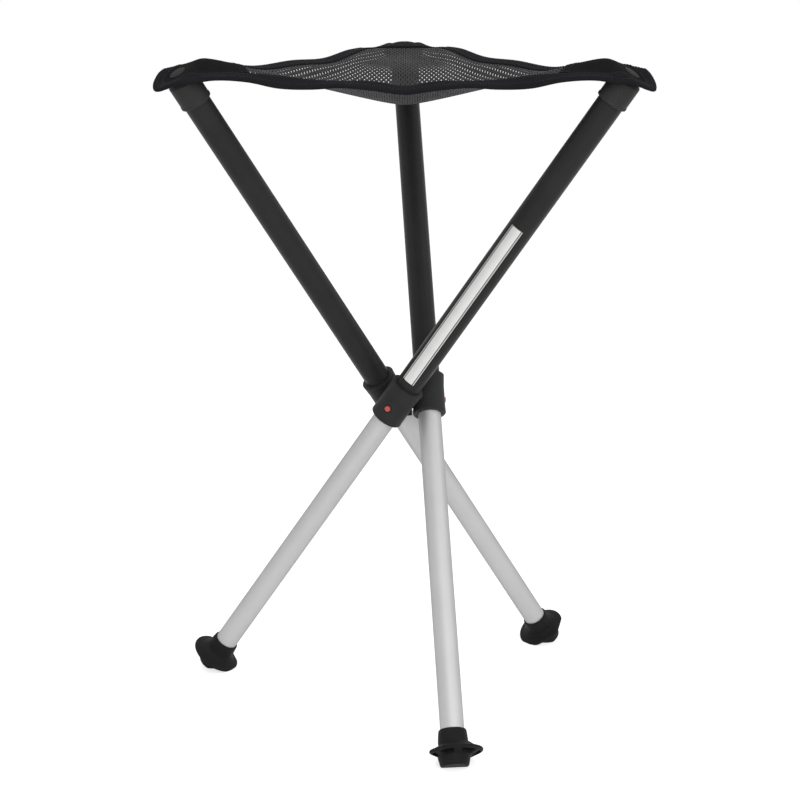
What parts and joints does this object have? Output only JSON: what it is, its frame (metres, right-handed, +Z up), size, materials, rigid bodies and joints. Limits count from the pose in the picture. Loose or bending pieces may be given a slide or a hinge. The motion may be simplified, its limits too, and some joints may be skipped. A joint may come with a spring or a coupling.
{
  "type": "folding tripod stool",
  "caption": "Folding stool with a mesh sling seat on telescopic tube legs that cross at a central pivot joint, with rubber feet and push-button locks.",
  "frame": {"origin": "on the floor, on the vertical axis about which the three legs are spaced evenly", "axes": "+Z up; +Y towards the seat's rear corner; the seat's straight front edge faces -Y"},
  "size_m": [0.465, 0.4943, 0.6524],
  "materials": {
    "joint_plastic": "moulded, matt",
    "screw_steel": "plain steel",
    "washer_plastic": "natural nylon",
    "sleeve_plastic": "fine grain, matt",
    "button_plastic": "semi-gloss red",
    "upper_tube_finish": "satin black",
    "lower_tube_finish": "satin anodised",
    "bush_plastic": "moulded, matt",
    "spring_steel": "blued strip",
    "foot_rubber": "matt",
    "cap_plastic": "satin",
    "rivet_plastic": "grey, matt",
    "panel_fabric": "dense black cloth",
    "plate_foil": "bare silver foil",
    "mesh_fabric": "open mesh",
    "binding_fabric": "woven tape"
  },
  "bodies": {
    "hub": {"hub": "joint_plastic", "pivot_screw_a": "screw_steel", "pivot_washer_a": "washer_plastic", "pivot_screw_b": "screw_steel", "pivot_washer_b": "washer_plastic", "pivot_screw_c": "screw_steel", "pivot_washer_c": "washer_plastic"},
    "leg_a": {"joint_sleeve_a": "sleeve_plastic", "upper_tube_a": "upper_tube_finish", "top_cap_a": "cap_plastic", "seat_rivet_a": "rivet_plastic", "corner_panel_a": "panel_fabric", "size_plate": "plate_foil"},
    "lower_leg_a": {"lower_tube_a": "lower_tube_finish", "guide_bush_a": "bush_plastic", "lock_clip_a": "spring_steel", "rubber_foot_a": "foot_rubber"},
    "button_a": {"release_button_a": "button_plastic"},
    "leg_b": {"joint_sleeve_b": "sleeve_plastic", "upper_tube_b": "upper_tube_finish", "top_cap_b": "cap_plastic", "seat_rivet_b": "rivet_plastic", "corner_panel_b": "panel_fabric"},
    "lower_leg_b": {"lower_tube_b": "lower_tube_finish", "guide_bush_b": "bush_plastic", "lock_clip_b": "spring_steel", "rubber_foot_b": "foot_rubber"},
    "button_b": {"release_button_b": "button_plastic"},
    "leg_c": {"joint_sleeve_c": "sleeve_plastic", "upper_tube_c": "upper_tube_finish", "top_cap_c": "cap_plastic", "seat_rivet_c": "rivet_plastic", "corner_panel_c": "panel_fabric"},
    "lower_leg_c": {"lower_tube_c": "lower_tube_finish", "guide_bush_c": "bush_plastic", "lock_clip_c": "spring_steel", "rubber_foot_c": "foot_rubber"},
    "button_c": {"release_button_c": "button_plastic"},
    "seat": {"seat_mesh": "mesh_fabric", "edge_binding": "binding_fabric"}
  },
  "joints": [
    {"name": "fold_a", "type": "hinge", "parent": "hub", "child": "leg_a", "pos_m": [-0.00991, -0.02268, 0.3055], "axis": [-0.4003, -0.9164, 0], "range_deg": [0, 35], "deforming": ["corner_panel_a"]},
    {"name": "fold_b", "type": "hinge", "parent": "hub", "child": "leg_b", "pos_m": [0.0246, 0.00276, 0.3055], "axis": [0.9938, 0.1115, 0], "range_deg": [0, 35], "deforming": ["corner_panel_b"]},
    {"name": "fold_c", "type": "hinge", "parent": "hub", "child": "leg_c", "pos_m": [-0.01469, 0.01992, 0.3055], "axis": [-0.5934, 0.8049, 0], "range_deg": [0, 35], "deforming": ["corner_panel_c"]},
    {"name": "seat_rise", "type": "slide", "parent": "hub", "child": "seat", "axis": [0, 0, 1], "range_m": [0, 0.125], "deforming": ["seat_mesh", "edge_binding"]},
    {"name": "telescope_a", "type": "slide", "parent": "leg_a", "child": "lower_leg_a", "axis": [0.5324, -0.2326, 0.8139], "range_m": [0, 0.3], "deforming": ["lock_clip_a"]},
    {"name": "telescope_b", "type": "slide", "parent": "leg_b", "child": "lower_leg_b", "axis": [-0.0648, 0.5774, 0.8139], "range_m": [0, 0.3], "deforming": ["lock_clip_b"]},
    {"name": "telescope_c", "type": "slide", "parent": "leg_c", "child": "lower_leg_c", "axis": [-0.4676, -0.3448, 0.8139], "range_m": [0, 0.3], "deforming": ["lock_clip_c"]},
    {"name": "press_a", "type": "slide", "parent": "leg_a", "child": "button_a", "axis": [0.4003, 0.9164, 0], "range_m": [0, 0.0016], "stiffness_N_per_m": 300, "deforming": ["lock_clip_a"]},
    {"name": "press_b", "type": "slide", "parent": "leg_b", "child": "button_b", "axis": [-0.9938, -0.1115, 0], "range_m": [0, 0.0016], "stiffness_N_per_m": 300, "deforming": ["lock_clip_b"]},
    {"name": "press_c", "type": "slide", "parent": "leg_c", "child": "button_c", "axis": [0.5934, -0.8049, 0], "range_m": [0, 0.0016], "stiffness_N_per_m": 300, "deforming": ["lock_clip_c"]}
  ],
  "couplings": [
    {"joint": "fold_b", "follows": "fold_a", "ratio": 1},
    {"joint": "fold_c", "follows": "fold_a", "ratio": 1},
    {"joint": "seat_rise", "follows": "fold_a", "m_per_rad": 0.2046}
  ]
}
